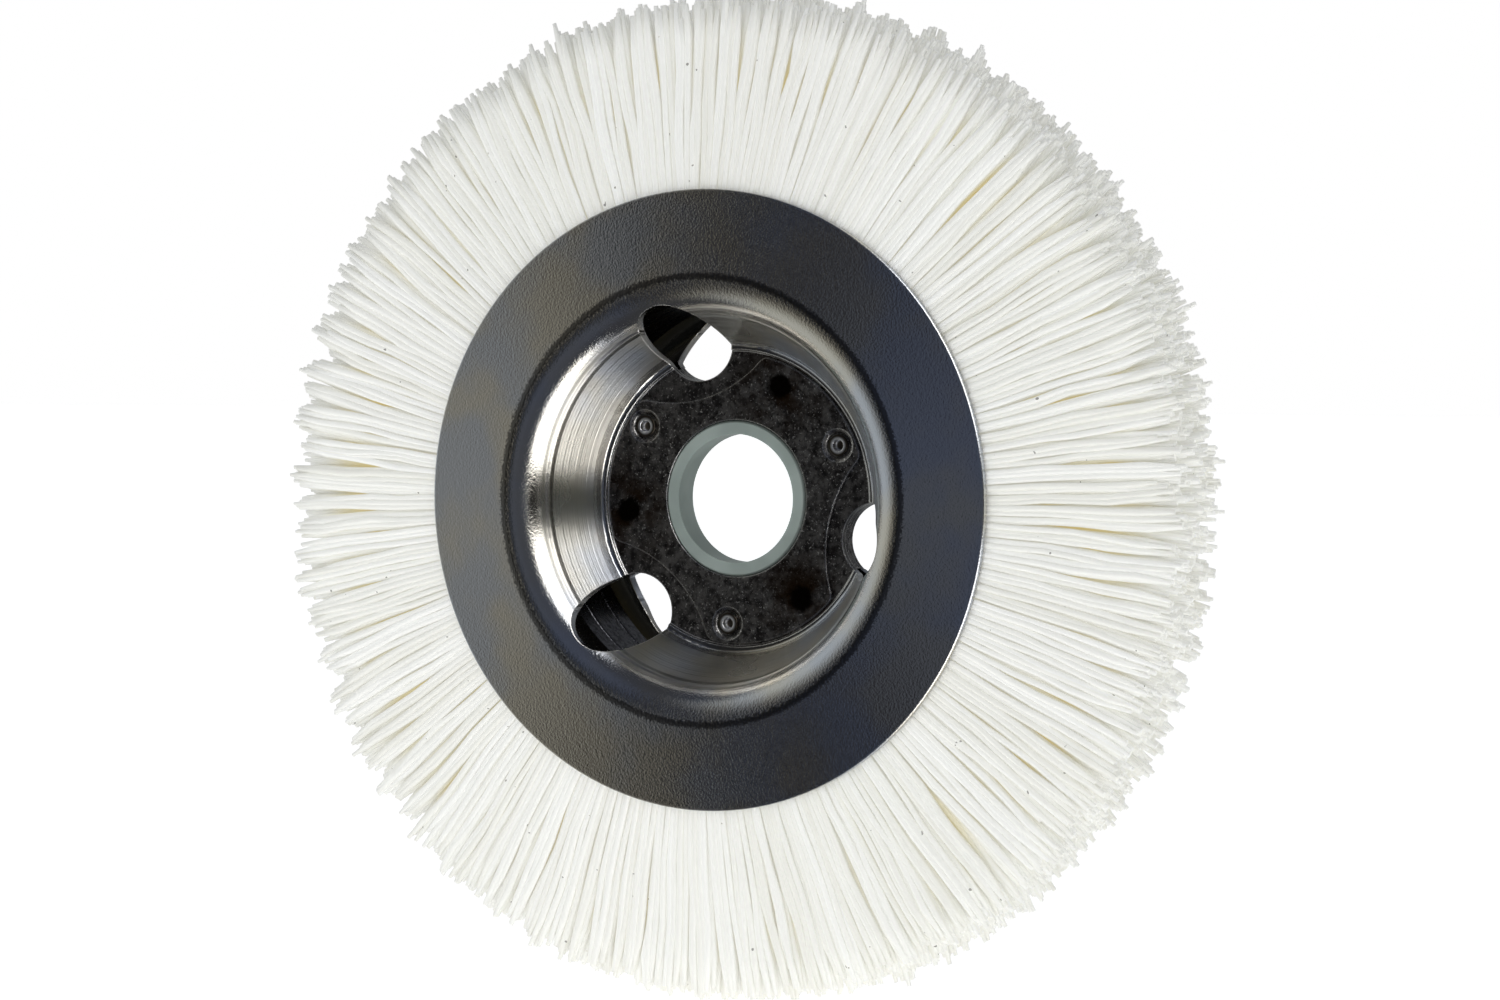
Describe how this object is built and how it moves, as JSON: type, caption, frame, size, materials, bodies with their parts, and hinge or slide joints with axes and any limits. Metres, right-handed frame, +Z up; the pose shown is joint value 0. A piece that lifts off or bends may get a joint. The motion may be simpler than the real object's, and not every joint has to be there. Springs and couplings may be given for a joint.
{
  "type": "radial wheel brush",
  "caption": "Radial wheel brush of stiff nylon filaments clamped between two dished steel cover plates, with a polymer reducing bush in the arbor bore.",
  "frame": {"origin": "centre of the arbor bore on the wheel's mid-plane", "axes": "+Y is the wheel's axis of rotation, the front cover plate faces -Y, +Z up; seen from the front the first drive hole is 105.6 degrees anticlockwise from +X"},
  "size_m": [0.195, 0.0372, 0.195],
  "materials": {
    "plate_steel": "cold-rolled, pressed, lightly oiled",
    "hub_steel": "dark, scale and spot-weld heat marks",
    "rivet_steel": "bright rolled edge",
    "hoop_steel": "plain rolled strip and drawn wire",
    "bush_polymer": "moulded, translucent grey-green",
    "nylon_filament": "extruded white filament, satin, cut ends"
  },
  "bodies": {
    "root": {"front_cover_plate": "plate_steel", "rear_cover_plate": "plate_steel", "front_hub_stiffener": "hub_steel", "rear_hub_stiffener": "hub_steel", "hub_core_disc": "hub_steel", "hub_rivet_1": "rivet_steel", "hub_rivet_2": "rivet_steel", "hub_rivet_3": "rivet_steel", "root_hoop": "hoop_steel", "root_wire": "hoop_steel", "bore_bush": "bush_polymer", "filament_bundle_01": "nylon_filament", "filament_bundle_02": "nylon_filament", "filament_bundle_03": "nylon_filament", "filament_bundle_04": "nylon_filament", "filament_bundle_05": "nylon_filament", "filament_bundle_06": "nylon_filament", "filament_bundle_07": "nylon_filament", "filament_bundle_08": "nylon_filament", "filament_bundle_09": "nylon_filament", "filament_bundle_10": "nylon_filament", "filament_bundle_11": "nylon_filament", "filament_bundle_12": "nylon_filament", "filament_bundle_13": "nylon_filament", "filament_bundle_14": "nylon_filament", "filament_bundle_15": "nylon_filament", "filament_bundle_16": "nylon_filament", "filament_bundle_17": "nylon_filament", "filament_bundle_18": "nylon_filament", "filament_bundle_19": "nylon_filament", "filament_bundle_20": "nylon_filament", "filament_bundle_21": "nylon_filament", "filament_bundle_22": "nylon_filament", "filament_bundle_23": "nylon_filament", "filament_bundle_24": "nylon_filament"}
  },
  "joints": []
}
